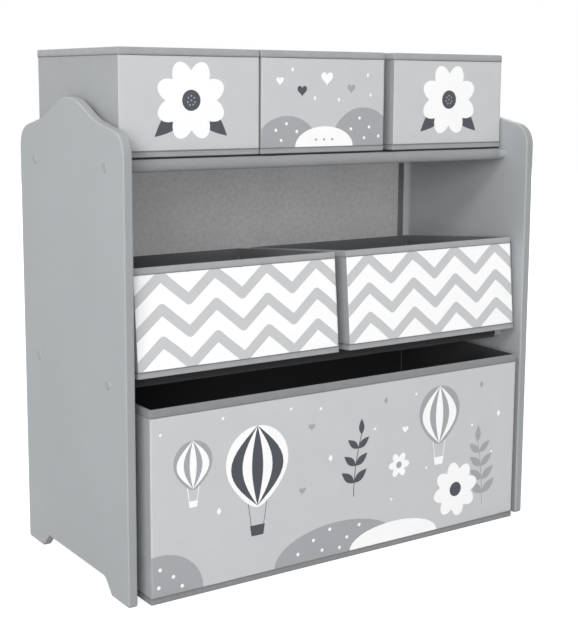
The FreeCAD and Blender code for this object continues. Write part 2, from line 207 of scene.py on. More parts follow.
def paint_material(name, colour, roughness=0.55, facing_shade_tone=1.0):
    """Satin paint, slight orange peel, faint rubs, and painted shade on faces towards the front or back."""
    shader = Shader(name, roughness, 0.25)
    peel = shader.cloud(620.0, 2.0)
    rubs = shader.cloud(38.0, 6.0, 0.7)
    facing = shader.add("ShaderNodeTexCoord").outputs["Normal"]
    # Painted shade: darker as the face turns to the front or back.
    shade_by_facing = shader.spread(shader.math("ABSOLUTE", shader.split(facing)[1]), 1.0, facing_shade_tone, 0.5, 0.97)
    tint = shader.tint(shader.cloud(5.0, 4.0), colour, 0.018)
    tone = shader.add("ShaderNodeVectorMath", {0: tint, 3: shade_by_facing}, operation="SCALE")
    return shader.finish(tone.outputs[0], shader.bump(peel, 0.00006, 0.55), (rubs, -0.07, 0.1))


def felt_material(name, colour, contrast, blotch=240.0, roughness=0.88, painted_glow=0.0):
    """Non-woven cloth: matted fibres, small blotches and the embossed dots that bond it.

    The last argument sets how strongly the cloth glows with its own colour: painted light that lifts its
    shade.
    """
    shader = Shader(name, roughness, 0.22, cloth=True, sheen=0.6)
    dots = shader.math("MULTIPLY", *shader.threads(1.3 * MM))
    fibres = shader.cloud(1700.0, 4.0, 0.7)
    blotches = shader.cloud(blotch, 5.0, 0.7)
    drift = shader.cloud(14.0)
    tone = shader.total((blotches, 0.6), (fibres, 0.22), (drift, 0.18), (dots, -0.03))
    tint = shader.tint(tone, colour, contrast)
    # Painted light: the cloth glows with its own colour.
    if painted_glow:
        shader.fill(shader.surface, {"Emission Color": tint, "Emission Strength": painted_glow})
    height = shader.total(fibres, (dots, -0.6))
    return shader.finish(tint, shader.bump(height, 0.00018), (blotches, -0.08, 0.08))


def linen_material(name, colour, contrast):
    """Woven cover cloth, with uneven slub threads across and up."""
    shader = Shader(name, 0.82, 0.28, cloth=True, sheen=0.5)
    weave = shader.total(*shader.threads(0.9 * MM))
    drawn_out = []
    for scale in ((28.0, 900.0, 1.0), (900.0, 28.0, 1.0)):
        scaled = shader.add("ShaderNodeMapping", {"Vector": shader.where, "Scale": scale}).outputs["Vector"]
        drawn_out.append(shader.cloud(1.0, 3.0, 0.6, scaled))
    slubs, warps = drawn_out
    drift = shader.cloud(18.0)
    tone = shader.total((slubs, 0.42), (warps, 0.34), (drift, 0.24), (weave, 0.02))
    height = shader.total(weave, shader.total(slubs, warps))
    tint = shader.tint(tone, colour, contrast)
    return shader.finish(tint, shader.bump(height, 0.00008), (drift, -0.06, 0.06))


def print_material(name, colour, contrast=0.008):
    """Ink on smooth cloth, with its fine weave just visible."""
    shader = Shader(name, 0.62, 0.35, cloth=True)
    weave = shader.total(*shader.threads(0.8 * MM))
    drift = shader.cloud(26.0, 4.0)
    tint = shader.tint(shader.total(drift, (weave, 0.03)), colour, contrast)
    return shader.finish(tint, shader.bump(weave, 0.00003, 0.8), (drift, -0.06, 0.06))


def tape_material(name, colour):
    """Binding tape: a fine slanting twill with small blotches."""
    shader = Shader(name, 0.8, 0.3, cloth=True, sheen=0.5)
    across, up, _ = shader.split(shader.where)
    twill = shader.wave(shader.total(across, (up, 0.6)), 0.95 * MM)
    fibres = shader.cloud(1500.0, 3.0, 0.7)
    blotches = shader.cloud(70.0, 4.0, 0.6)
    tone = shader.total((blotches, 0.6), (fibres, 0.4), (twill, 0.07))
    height = shader.total(twill, fibres)
    return shader.finish(shader.tint(tone, colour, 0.045), shader.bump(height, 0.00007))


def thread_material(name, colour):
    """Sewing thread with its twist."""
    shader = Shader(name, 0.7, 0.3)
    inputs = {"Vector": shader.where, "Scale": 900.0, "Distortion": 1.5}
    twist = shader.add("ShaderNodeTexWave", inputs, bands_direction="DIAGONAL").outputs["Fac"]
    return shader.finish(shader.tint(twist, colour, 0.08), shader.bump(twist, 0.00005))


def metal_material(name, colour, roughness):
    """Drawn and zinc-plated steel with fine scratches."""
    shader = Shader(name, roughness, 0.5, metallic=1.0)
    scratches = shader.cloud(300.0, 6.0, 0.75)
    tint = shader.tint(scratches, colour, 0.06)
    return shader.finish(tint, shader.bump(scratches, 0.00002), (scratches, -0.08, 0.12))


def plastic_material(name, colour, roughness=0.45):
    """Moulded plastic with a fine spark-eroded grain."""
    shader = Shader(name, roughness, 0.45)
    grain = shader.cloud(1400.0, 2.0)
    return shader.finish(shader.tint(grain, colour, 0.02), shader.bump(grain, 0.00003), (grain, -0.05, 0.08))


# -------- meshes

WELD_DISTANCE = 0.002 * MM
SHARP_ANGLE = math.radians(42)


def new_object(name, data):
    """An object in the scene."""
    made = bpy.data.objects.new(name, data)
    bpy.context.scene.collection.objects.link(made)
    return made


class Builder:
    """Gathers points, and faces as (corners, their UVs in metres, material slot)."""

    def __init__(self):
        self.points, self.faces = [], []

    def add_grid(self, rows, across, up, slots, closed=False, looped=False):
        """Quads between rows of points. across and up are the UVs of the columns and rows.

        A closed grid joins its last column to its first, and a looped one its last row to its first; then
        across or up holds one more number. slots gives each band's material.
        """
        start = len(self.points)
        width = len(rows[0])
        self.points += [point for row in rows for point in row]
        for i in range(len(rows) if looped else len(rows) - 1):
            low, high = start + i * width, start + (i + 1) % len(rows) * width
            for j in range(width if closed else width - 1):
                k = (j + 1) % width
                corners = (low + j, low + k, high + k, high + j)
                (left, right), (foot, top) = across[j : j + 2], up[i : i + 2]
                uvs = ((left, foot), (right, foot), (right, top), (left, top))
                self.faces.append((corners, uvs, slots[i]))

    def add_solid(self, rows, across, up, slots):
        """A closed grid with a flat cap at each end. slots starts and ends with those of the caps."""
        start, width = len(self.points), len(rows[0])
        self.add_grid(rows, across, up, slots[1:-1], closed=True)
        for first, slot, order in ((start, slots[0], -1), (start + (len(rows) - 1) * width, slots[-1], 1)):
            ring = list(range(first, first + width))[::order]
            self.faces.append((ring, [self.points[i].xy for i in ring], slot))

    def make(self, name, materials, matrix=None):
        """The object, with coincident points joined, smooth bends and crisp edges."""
        mesh = bpy.data.meshes.new(name)
        mesh.from_pydata([tuple(p) for p in self.points], [], [corners for corners, _, _ in self.faces])
        layer = mesh.uv_layers.new(name="UVMap")
        for loop, uv in zip(layer.data, [uv for _, uvs, _ in self.faces for uv in uvs]):
            loop.uv = uv
        for material in materials:
            mesh.materials.append(material)
        for polygon, (_, _, slot) in zip(mesh.polygons, self.faces):
            polygon.material_index = slot
            polygon.use_smooth = True
        if matrix is not None:
            mesh.transform(matrix)
        welded = bmesh.new()
        welded.from_mesh(mesh)
        bmesh.ops.remove_doubles(welded, verts=welded.verts, dist=WELD_DISTANCE)
        bmesh.ops.dissolve_degenerate(welded, edges=welded.edges, dist=WELD_DISTANCE)
        welded.to_mesh(mesh)
        welded.free()
        mesh.set_sharp_from_angle(angle=SHARP_ANGLE)
        return new_object(name, mesh)


def evenly(first, last, steps):
    """Numbers from the first to the last one in even steps."""
    return [first + (last - first) * k / steps for k in range(steps + 1)]


def arc_angles(first, last, steps):
    """Angles in radians, from the first to the last one in degrees."""
    return [math.radians(angle) for angle in evenly(first, last, steps)]


def turns(steps):
    """Angles in radians that divide a full turn."""
    return [2 * math.pi * k / steps for k in range(steps)]


def running(spots):
    """The distance run along a list of points, from 0."""
    out = [0.0]
    for before, after in zip(spots, spots[1:]):
        out.append(out[-1] + (Vector(after) - Vector(before)).length)
    return out


def ripple(x, y, seed, size):
    """Smooth noise from -1 to 1 over a surface, with features of this size."""
    return noise.noise(Vector((x / size, y / size, seed * 7.31)))


STITCH_SIDES = 6
STITCH_SHARE = 0.68  # of the pitch, as the thread shows
STITCH_HALF = ((0.5, 0.35, -0.2), (0.36, 0.9, 0.45))  # along, thick and high, as shares
STITCH_STATIONS = [*[(-run, *form) for run, *form in STITCH_HALF], (0.0, 1.0, 0.62), *STITCH_HALF[::-1]]
TAPE_STITCH = (4.2 * MM, 0.5 * MM)  # pitch and thickness
HEM_STITCH = (3.6 * MM, 0.55 * MM)


def add_seam(builder, path, length, stitch, slot):
    """Stitches along a path that gives (point, outward direction) for a distance.

    Each one is a short thread that bows out of the cloth and dives in at both ends.
    """
    pitch, thickness = stitch
    reach = pitch * STITCH_SHARE
    across = [thickness * k / 2 for k in range(STITCH_SIDES + 1)]
    up = [reach * (share + 0.5) for share, _, _ in STITCH_STATIONS]
    circle = [(math.cos(a), math.sin(a)) for a in turns(STITCH_SIDES)]
    count = int(length / pitch)
    for i in range(count):
        run = (i + 0.5) * length / count
        middle, out = path(run)
        along = (path(run + 0.2 * MM)[0] - middle).normalized()
        side = along.cross(out).normalized()
        rows = []
        for share, girth, rise in STITCH_STATIONS:
            centre = middle + along * (share * reach) + out * (rise * thickness)
            radius = girth * thickness / 2
            rows.append([centre + side * (a * radius) + out * (b * radius) for a, b in circle])
        builder.add_solid(rows, across, up, [slot] * (len(rows) + 1))


# -------- the bins' shape

FOLD_HALF_GAP = 4 * MM
FOLD_WIDTH = 1.1 * MM
FOLD_REACH = FOLD_HALF_GAP + 2 * FOLD_WIDTH
FOLD_OFFSETS = [
    side * (FOLD_HALF_GAP + k * FOLD_WIDTH) for side in (-1, 1) for k in (-2, -1, -0.5, 0, 0.5, 1, 2)
]
BOARD_CLEARANCE = 0.3 * MM
CROWN, WAVE, CREASE = 0.35 * MM, 0.22 * MM, 0.2 * MM


class Plan:
    """A bin's rounded outline from above, by the distance run rightwards from its front's middle."""

    ARC_STEPS = 5

    def __init__(self, half_width, depth, radius):
        self.half_width, self.depth, self.radius = half_width, depth, radius
        across, side, arc = half_width - radius, depth - 2 * radius, radius * math.pi / 2
        self.parts = [across, arc, side, arc, 2 * across, arc, side, arc, across]
        self.length = sum(self.parts)
        fold = across + arc + side / 2
        self.folds = (fold, self.length - fold)
        self.front_reach = across + arc / 2

    def locate(self, run):
        """The part of the outline that a distance falls in, and how far along that part."""
        run %= self.length
        for i, part in enumerate(self.parts[:-1]):
            if run <= part:
                return i, run
            run -= part
        return len(self.parts) - 1, run

    def at(self, run):
        """The point of the outline and its outward direction. The odd parts are the corners."""
        i, run = self.locate(run)
        r, w, d = self.radius, self.half_width, self.depth
        if i % 2:
            x, y, first = ((w - r, r, -90), (w - r, d - r, 0), (r - w, d - r, 90), (r - w, r, 180))[i // 2]
            turn = math.radians(first) + run / r
            out = Vector((math.cos(turn), math.sin(turn)))
            return Vector((x, y)) + out * r, out
        flats = ((0, 0, 1, 0), (w, r, 0, 1), (w - r, d, -1, 0), (-w, d - r, 0, -1), (r - w, 0, 1, 0))
        x, y, across, back = flats[i // 2]
        return Vector((x + across * run, y + back * run)), Vector((back, -across))

    def runs(self, step):
        """Distances that sample the outline: even along the flats, closer at the corners and folds."""
        out, start = [], 0.0
        for i, part in enumerate(self.parts):
            count = self.ARC_STEPS if i % 2 else max(1, round(part / step))
            out += [start + part * k / count for k in range(count)]
            start += part
        for fold in self.folds:
            out = [run for run in out if abs(run - fold) > FOLD_REACH + 1 * MM]
            out += [fold + offset for offset in FOLD_OFFSETS]
        return sorted(out)


class BinShape:
    """Where a bin stands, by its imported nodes. Its own X is across, Y back from its front and Z up."""

    def __init__(self, name):
        self.name = name
        self.body = f"{name}_bin"
        up = next(Vector(j["axis"]) for j in frame["joints"] if j["name"] == f"{name}_board_lift")
        self.turn = Matrix.Rotation(-math.atan2(up.y, up.z), 4, "X")
        low, high = self.local_box("bottom_binding")
        self.matrix = self.turn @ Matrix.Translation(Vector(((low.x + high.x) / 2, low.y, low.z)))
        self.half_width, self.depth = (high.x - low.x) / 2, high.y - low.y
        self.foot_tape = high.z - low.z
        rim_low, rim_high = self.local_box("top_binding")
        self.height = (rim_high - low).z
        self.rim_tape = rim_high.z - rim_low.z
        self.tape = self.local_box("shell")[0].y - low.y
        self.floor = self.wall = self.local_box("base_board")[0].z - low.z - BOARD_CLEARANCE
        print_low, print_high = self.local_box("front_print")
        radius = self.half_width - (print_high.x - print_low.x) / 2
        self.plan = Plan(self.half_width, self.depth, radius)
        self.seed = sum(map(ord, name))

    def local_box(self, word):
        """The corners of one of the bin's nodes in the bin's own directions."""
        back = self.turn.inverted()
        spots = [back @ v.co for v in frame["nodes"][f"{self.name}_{word}"].data.vertices]
        return [Vector([pick(axis) for axis in zip(*spots)]) for pick in (min, max)]

    def fold_depth(self, run):
        """How far, from 0 to 1, a side is pressed in at the two creases down its middle."""
        nearest = min(abs(run - fold) for fold in self.plan.folds)
        return max(0.0, 1 - abs(nearest - FOLD_HALF_GAP) / FOLD_WIDTH)

    def give(self, run, z):
        """How far the covered board stands off its flat plane: a soft crown, ripples and the folds."""
        run %= self.plan.length
        i, along = self.plan.locate(run)
        turn = math.pi * along / self.plan.parts[i]
        ends = {0: math.cos(turn / 2), 8: math.sin(turn / 2)}
        share = ends.get(i, 0.0 if i % 2 else math.sin(turn))
        upright = math.sin(math.pi * min(1.0, max(0.0, z / self.height)))
        crown = CROWN * max(0.0, share) ** 0.6 * upright
        waves = WAVE * ripple(run, z, self.seed, 60 * MM) * upright
        return crown + waves - CREASE * self.fold_depth(run)

    def spot(self, run, z, out):
        """The point at this distance round the bin and height, out from the tapes' outer face."""
        point, away = self.plan.at(run)
        reach = self.half_width + out
        x = min(max(point.x + away.x * out, -reach), reach)
        y = min(max(point.y + away.y * out, -out), self.depth + out)
        return Vector((x, y, z))


# -------- bin pieces

WALL_STEP, WALL_STEPS = 9 * MM, 14
FOOT_ROUNDING = {0.0: 1.3 * MM, 0.4 * MM: 0.6 * MM, 1.0 * MM: 0.2 * MM, 2.0 * MM: 0.0}  # inset by height
# The third slot is the dark bottom and rounded foot of a bin's walls: painted shade.
OUTER_CLOTH, LINING, UNDER_SHADE, BEAD = range(4)
BEAD_RADIUS = 0.45 * MM
BEAD_INSET = 0.35 * MM
BEAD_SIDES = 8


def add_corner_beads(builder, shape):
    """A sewn bead up each inner corner of a bin, where two walls of its lining meet."""
    inset = shape.tape + shape.wall + BEAD_INSET
    low, high = shape.floor, shape.height - shape.rim_tape
    across = evenly(0, 2 * math.pi * BEAD_RADIUS, BEAD_SIDES)
    for x in (inset - shape.half_width, shape.half_width - inset):
        for y in (inset, shape.depth - inset):
            ring = [(x + BEAD_RADIUS * math.cos(a), y + BEAD_RADIUS * math.sin(a)) for a in turns(BEAD_SIDES)]
            rows = [[Vector((*spot, z)) for spot in ring] for z in (low, high)]
            builder.add_solid(rows, across, [0.0, high - low], [BEAD] * 3)


def make_shell(shape, materials):
    """The walls and floor: cloth outside, dark lining inside, and a dark cloth as painted shade on the bottom
    and rounded foot.
    """
    runs = shape.plan.runs(WALL_STEP)
    top = shape.height - shape.tape
    heights = [*FOOT_ROUNDING, *evenly(shape.foot_tape, top, WALL_STEPS)]
    inside = evenly(top, shape.floor, WALL_STEPS)
    profile = [(-shape.tape - FOOT_ROUNDING.get(z, 0.0), z, 1.0) for z in heights]
    profile += [(-shape.tape - shape.wall, z, -0.6) for z in inside]
    rows = [
        [shape.spot(run, z, out + give * shape.give(run, z)) for run in runs] for out, z, give in profile
    ]
    across = [*runs, runs[0] + shape.plan.length]
    up = running([row[:2] for row in profile])
    rounded = len(FOOT_ROUNDING)
    # The rounded foot and the bottom cap take the dark cloth: painted shade.
    slots = [UNDER_SHADE] * rounded + [OUTER_CLOTH] * (len(heights) - rounded) + [LINING] * (len(inside) + 1)
    builder = Builder()
    builder.add_solid(rows, across, up, slots)
    add_corner_beads(builder, shape)
    piece = builder.make(f"{shape.name}_walls", materials, shape.matrix)
    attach(piece, shape.body)
    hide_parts(f"{shape.name}_shell")


# The third band is a tape's dark band next to the print: painted seam shade.
TAPE_BAND, THREAD_BAND, SEAM_SHADE_BAND, LINING_BAND = range(4)
TAPE_STEP, TAPE_WAVE, TAPE_PRESS = 7 * MM, 0.18 * MM, 0.15 * MM


def make_tape(shape, word, profile, seam_height, materials):
    """A tape swept round the bin, from a closed section of (out, height, band)."""

    def wave(run):
        return TAPE_WAVE * ripple(run, 0.0, shape.seed + len(word), 11 * MM)

    def path(run):
        point, away = shape.plan.at(run)
        return shape.spot(run, seam_height, wave(run)), Vector((*away, 0))

    runs = shape.plan.runs(TAPE_STEP)
    samples = [(run, wave(run), TAPE_PRESS * shape.fold_depth(run)) for run in runs]
    rows = []
    for out, z, _ in profile:
        shown = out > -shape.tape * 0.9
        rows.append([shape.spot(run, z, out + shown * rise - press) for run, rise, press in samples])
    across = [*runs, runs[0] + shape.plan.length]
    up = running([row[:2] for row in [*profile, profile[0]]])
    builder = Builder()
    builder.add_grid(rows, across, up, [band for _, _, band in profile], closed=True, looped=True)
    add_seam(builder, path, shape.plan.length, TAPE_STITCH, THREAD_BAND)
    piece = builder.make(f"{shape.name}_{word}_tape", materials, shape.matrix)
    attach(piece, shape.body)
    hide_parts(f"{shape.name}_{word}_binding")


def make_rim_tape(shape, materials):
    """Tape folded over the rim and puffed a little at the fold. Inside, the lining covers it."""
    thick = shape.tape
    middle = -thick - shape.wall / 2
    reach = shape.wall / 2 + thick
    top = shape.height - reach * 0.55
    low = shape.height - shape.rim_tape
    section = [
        # The tape's lowest band, where it meets the print, is painted seam shade.
        (-0.3 * MM, low, SEAM_SHADE_BAND),
        (0.02 * MM, low + 0.3 * MM, SEAM_SHADE_BAND),
        (0.02 * MM, low + 1.1 * MM, TAPE_BAND),
        (0.1 * MM, low + 2.4 * MM, TAPE_BAND),
        (0.0, (low + top) / 2, TAPE_BAND),
    ]
    steps = 8
    for k, a in enumerate(arc_angles(0, 180, steps)):
        band = TAPE_BAND if k < steps * 0.6 else LINING_BAND
        section.append((middle + reach * math.cos(a), top + 0.55 * reach * math.sin(a), band))
    inner, under = 2 * middle + thick, shape.height - thick
    hidden = [(2 * middle, (low + top) / 2), (2 * middle, low), (inner, low), (inner, under), (-thick, under)]
    section += [(out, z, LINING_BAND) for out, z in [*hidden, (-thick, low)]]
    make_tape(shape, "top", section, low + 2.1 * MM, materials)


SMALL_FOOT_GAP = 1.7 * MM


def make_foot_tape(shape, materials):
    """Tape round the walls' foot: turned under, with a pressed fold and painted seam shade along its top
    edge.
    """
    thick, high = shape.tape, shape.foot_tape
    edge = min(1.9 * MM, high * 0.24)
    low = SMALL_FOOT_GAP if shape.name.startswith("small") else 0.0
    outside = [(out * MM, low + z * MM) for out, z in ((-1.4, 0.05), (-0.6, 0.15), (-0.12, 0.6), (0.0, 1.5))]
    outside += [(out * MM, high * share) for out, share in ((0.05, 0.46), (-0.2, 0.52), (0.05, 0.58))]
    # The top edge's band is painted shade, where the tape meets the print.
    seam_shade = [(0.0, high - edge), (-0.22 * MM, high - 0.3 * MM), (-0.45 * MM, high)]
    inside = [(-thick * 0.98, high), (-thick * 0.98, low + 1.7 * MM), (-1.1 * MM, low + 0.9 * MM)]
    bands = ((outside, TAPE_BAND), (seam_shade, SEAM_SHADE_BAND), (inside, TAPE_BAND))
    section = [(out, z, band) for points, band in bands for out, z in points]
    make_tape(shape, "bottom", section, high - edge - 1.3 * MM, materials)


# -------- printed fronts


def anticlockwise(outline):
    """The outline, turned round if it runs clockwise."""
    area = sum(a[0] * b[1] - b[0] * a[1] for a, b in zip(outline, outline[1:] + outline[:1]))
    return outline if area > 0 else outline[::-1]


def placed(outline, x, y, tilt):
    """An outline turned by some degrees and moved to a place."""
    cos, sin = math.cos(math.radians(tilt)), math.sin(math.radians(tilt))
    return [(x + a * cos - b * sin, y + a * sin + b * cos) for a, b in outline]


def ellipse(x, y, across, up, tilt=0.0, steps=36):
    """An ellipse from its two half sizes, turned by some degrees."""
    return placed([(across * math.cos(a), up * math.sin(a)) for a in turns(steps)], x, y, tilt)


def leaf(x, y, length, width, tilt):
    """A pointed leaf from its stalk end."""
    steps = 12
    bellies = [width / 2 * math.sin(math.pi * share**0.85) for share in evenly(0, 1, steps)]
    edge = list(zip(evenly(0, length, steps), bellies))
    return placed(edge + [(run, -side) for run, side in reversed(edge[1:-1])], x, y, tilt)


def diamond(x, y, size):
    """An upright diamond."""
    return [(x + size * 0.7, y), (x, y + size), (x - size * 0.7, y), (x, y - size)]


def heart(x, y, size):
    """A plain heart."""
    out = []
    for a in turns(32):
        across = 16 * math.sin(a) ** 3
        up = 13 * math.cos(a) - 5 * math.cos(2 * a) - 2 * math.cos(3 * a) - math.cos(4 * a)
        out.append((x + across * size / 17, y + up * size / 17))
    return out


def bar(start, end, width):
    """A straight stroke with square ends."""
    a, b = Vector(start), Vector(end)
    way = b - a
    side = Vector((-way.y, way.x)).normalized() * (width / 2)
    return [a - side, b - side, b + side, a + side]


def stroke(points, width):
    """A stroke with round ends and bends, as overlapping shapes."""
    out = [bar(a, b, width) for a, b in zip(points, points[1:])]
    out += [ellipse(x, y, width / 2, width / 2, steps=20) for x, y in points]
    return out


def lens(x, low, high, width, shift):
    """An upright stripe, widest in its middle, for the gores of a balloon."""
    rows = [(math.sin(math.pi * share), low + (high - low) * share) for share in evenly(0, 1, 14)]
    sides = (width / 2, -width / 2)
    right, left = [[(x + shift * belly + side * belly, y) for belly, y in rows] for side in sides]
    return right + left[-2:0:-1]


def balloon(x, y, size, envelope, stripe):
    """A hot-air balloon: an envelope drawn in to its mouth, stripes, ropes and a basket."""
    body = []
    for a in turns(40):
        up = math.sin(a)
        squeeze, stretch = (1.0, 1.0) if up > 0 else (1 - 0.42 * up * up, 1.28)
        body.append((x + size * math.cos(a) * squeeze, y + size * up * stretch))
    top, mouth, basket = y + size, y - size * 1.24, y - size * 1.78
    shapes = [(envelope, body)]
    for shift in (-size * 0.66, 0.0, size * 0.66):
        shapes.append((stripe, lens(x, mouth, top, size * 0.36, shift)))
    for side in (-1, 1):
        upper = (x + side * size * 0.3, mouth + 0.1 * size)
        shapes.append((stripe, bar(upper, (x + side * size * 0.2, basket), 0.9 * MM)))
    half, floor = size * 0.24, basket - size * 0.3
    corners = [(x - half, basket), (x - half * 0.8, floor), (x + half * 0.8, floor), (x + half, basket)]
    shapes.append((stripe, corners))
    return shapes


def flower(x, y, size, petals, petal_tone, centre_tone, turn):
    """A plain daisy of round petals."""
    shapes = []
    for k in range(petals):
        angle = turn + 360 * k / petals
        a = math.radians(angle)
        px, py = x + 0.58 * size * math.cos(a), y + 0.58 * size * math.sin(a)
        shapes.append((petal_tone, ellipse(px, py, 0.46 * size, 0.3 * size, angle)))
    shapes.append((centre_tone, ellipse(x, y, 0.27 * size, 0.27 * size)))
    return shapes


def sprig(x, y, height, pairs, lean, tone):
    """A stem with pairs of leaves and one at its tip."""
    points = [(x + lean * (k / 6) ** 2, y + height * k / 6) for k in range(7)]
    shapes = stroke(points, 1.3 * MM)
    for k in range(pairs):
        share = (k + 0.8) / (pairs + 0.6)
        size = height * (0.34 - 0.09 * share)
        for tilt in (38, 142):
            shapes.append(leaf(x + lean * share**2, y + height * share, size, size * 0.42, tilt))
    shapes.append(leaf(*points[-1], height * 0.26, height * 0.11, 90))
    return [(tone, shape) for shape in shapes]


def hill(x, width, height, tone):
    """A rounded hill, of sizes in mm, that stands on the print's lower edge."""
    return [(tone, ellipse(x, 0.0, width * MM / 2, height * MM))]


def dots(tone, radius, steps, places, x=0.0, y=0.0):
    """Round dots, of a radius and at places in mm from a point."""
    radius *= MM
    return [(tone, ellipse(x + dx * MM, y + dy * MM, radius, radius, steps=steps)) for dx, dy in places]


GROUND, WHITE, MID, DARK = range(4)


def daisy_design(width, height):
    """One large white daisy with a dark centre and dark leaves."""
    x, y = width * 0.5, height * 0.53
    shapes = []
    for side, tilt in ((6 * MM, -40), (-6 * MM, 220)):
        shapes.append((DARK, leaf(x + side, y - 6 * MM, 58 * MM, 23 * MM, tilt)))
    shapes += flower(x, y, 47 * MM, 8, WHITE, DARK, 22.5)
    seeds = ((-4, 3), (0, 5.5), (4, 3), (-5, -2), (0, 0), (5, -2), (-2, -5.5), (2.5, -5))
    return shapes + dots(MID, 1.1, 14, seeds, x, y)


def hills_design(width, height):
    """Three hills with dots, and a few hearts and diamonds."""
    shapes = hill(width * 0.2, 96, 40, MID) + hill(width * 0.82, 104, 50, MID)
    shapes += hill(width * 0.5, 92, 26, WHITE)
    on_hills = ((22, 22), (38, 30), (54, 20), (30, 9), (140, 22), (154, 36), (170, 24), (186, 12), (162, 10))
    shapes += dots(WHITE, 2.1, 16, on_hills)
    shapes += dots(MID, 1.7, 14, ((84, 9), (97, 9), (110, 9)))
    hearts = ((DARK, 62, 72, 8), (WHITE, 101, 88, 10), (MID, 140, 75, 7), (WHITE, 28, 84, 6))
    shapes += [(tone, heart(x * MM, y * MM, size * MM)) for tone, x, y, size in hearts]
    marks = ((82, 62), (120, 60), (167, 92), (47, 98), (172, 66))
    shapes += [(WHITE, diamond(x * MM, y * MM, 3 * MM)) for x, y in marks]
    return shapes


ZIGZAG_HALF_PERIOD = 37.4 * MM
ZIGZAG_RISE = 31 * MM
ZIGZAG_ROW = 39.3 * MM
ZIGZAG_STROKE = 12.8 * MM
ZIGZAG_TOP_PEAK = 111.5 * MM
ZIGZAG_FIRST_VALLEY = -147.6 * MM


def zigzag_design(width, height):
    """Rows of a hand-drawn zigzag on white, with round outer bends."""
    shapes = [(WHITE, [(0, 0), (width, 0), (width, height), (0, height)])]
    for row in range(-1, 4):
        line = []
        for k in range(-1, 10):
            x = width / 2 + ZIGZAG_FIRST_VALLEY + k * ZIGZAG_HALF_PERIOD
            y = ZIGZAG_TOP_PEAK - row * ZIGZAG_ROW - (0 if k % 2 else ZIGZAG_RISE)
            spot = Vector((x + 1.2 * MM * ripple(k, row, 51, 0.7), y + 0.9 * MM * ripple(k, row, 52, 0.7)))
            if line:
                bow = 1.1 * MM * ripple(k, row, 53, 0.7)
                line.append(line[-1].lerp(spot, 0.45) + Vector((bow, bow)))
            line.append(spot)
        shapes += [(MID, part) for part in stroke(line, ZIGZAG_STROKE)]
    return shapes


def meadow_design(width, height):
    """Balloons over hills, with sprigs, daisies and scattered marks."""
    shapes = hill(width * 0.47, 200, 44, MID) + hill(width * 0.63, 150, 27, WHITE)
    shapes += hill(width * 0.02, 120, 52, MID)
    on_hills = ((212, 12), (236, 26), (262, 36), (290, 20), (310, 33), (250, 10), (278, 8))
    shapes += dots(WHITE, 2.4, 18, (*on_hills, (12, 34), (30, 22), (10, 12), (42, 8)))
    shapes += balloon(150 * MM, 146 * MM, 46 * MM, WHITE, DARK)
    shapes += balloon(446 * MM, 168 * MM, 36 * MM, MID, WHITE)
    shapes += balloon(58 * MM, 160 * MM, 27 * MM, MID, WHITE)
    shapes += sprig(300 * MM, 74 * MM, 82 * MM, 3, 12 * MM, DARK)
    shapes += sprig(528 * MM, 22 * MM, 92 * MM, 4, -10 * MM, MID)
    shapes += flower(478 * MM, 52 * MM, 38 * MM, 8, WHITE, DARK, 10)
    shapes += flower(376 * MM, 104 * MM, 17 * MM, 6, WHITE, MID, 0)
    marks = ((232, 178), (262, 132), (352, 196), (386, 152), (522, 196), (94, 92), (218, 96), (556, 150))
    for index, (x, y) in enumerate(marks):
        shape = diamond(x * MM, y * MM, 5 * MM) if index % 3 else heart(x * MM, y * MM, 5.5 * MM)
        shapes.append(((MID, WHITE)[index % 2], shape))
    specks = ((200, 206), (246, 200), (334, 160), (364, 58), (404, 198), (424, 92), (506, 140))
    return shapes + dots(WHITE, 1.9, 16, (*specks, (14, 200), (100, 208), (544, 96)))


PRINT_STEP = 7 * MM
PRINT_STAND_OFF = 0.42 * MM
PRINT_THICKNESS = 0.34 * MM
PRINT_OVERLAP = 0.3 * MM  # under the tapes


def make_print(shape, design, materials):
    """The printed face, which bends round the front corners. The design's outlines are built into its mesh.
    """
    width = 2 * shape.plan.front_reach
    low = shape.foot_tape - PRINT_OVERLAP
    height = shape.height - shape.rim_tape + PRINT_OVERLAP - low
    sheet = [(0, 0), (width, 0), (width, height), (0, height)]
    shapes = [(GROUND, sheet), *[(tone, anticlockwise(outline)) for tone, outline in design(width, height)]]
    points, faces = [], []
    for _, outline in shapes:
        faces.append(list(range(len(points), len(points) + len(outline))))
        points += [Vector(p) for p in outline]
    columns, rows = round(width / PRINT_STEP), round(height / PRINT_STEP)
    for i in range(columns):
        points += [Vector((width * (i + 0.5) / columns, height * (j + 0.5) / rows)) for j in range(rows)]
    for edge, inwards in ((0.0, 1), (width, -1)):
        for step in range(1, 6):
            points += [Vector((edge + inwards * step * MM, height * j / rows)) for j in range(1, rows)]
    flat, _, cells, _, _, parents = delaunay_2d_cdt(points, [], faces, 1, 1e-7, True)
    cells = [(list(cell), max(owners)) for cell, owners in zip(cells, parents) if 0 in owners]
    used = sorted({i for cell, _ in cells for i in cell})
    order = {i: k for k, i in enumerate(used)}
    builder = Builder()
    for i in used:
        run, z = flat[i].x - shape.plan.front_reach, low + flat[i].y
        builder.points.append(shape.spot(run, z, -shape.tape + PRINT_STAND_OFF + shape.give(run, z)))
    for cell, owner in cells:
        builder.faces.append(([order[i] for i in cell], [flat[i] for i in cell], shapes[owner][0]))
    piece = builder.make(f"{shape.name}_printed_face", materials, shape.matrix)
    skin = piece.modifiers.new("thickness", "SOLIDIFY")
    skin.thickness = PRINT_THICKNESS
    skin.offset = -1
    solid = bpy.data.meshes.new_from_object(piece.evaluated_get(bpy.context.evaluated_depsgraph_get()))
    piece.modifiers.remove(skin)
    piece.data = solid
    solid.set_sharp_from_angle(angle=SHARP_ANGLE)
    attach(piece, shape.body)
    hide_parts(f"{shape.name}_front_print")


# -------- shelf slings and back

CLOTH = 0.8 * MM  # thick
CLOTH_STEP = 8 * MM
SLEEVE_SLACK = 0.35 * MM
SIDE_HEM = 7 * MM


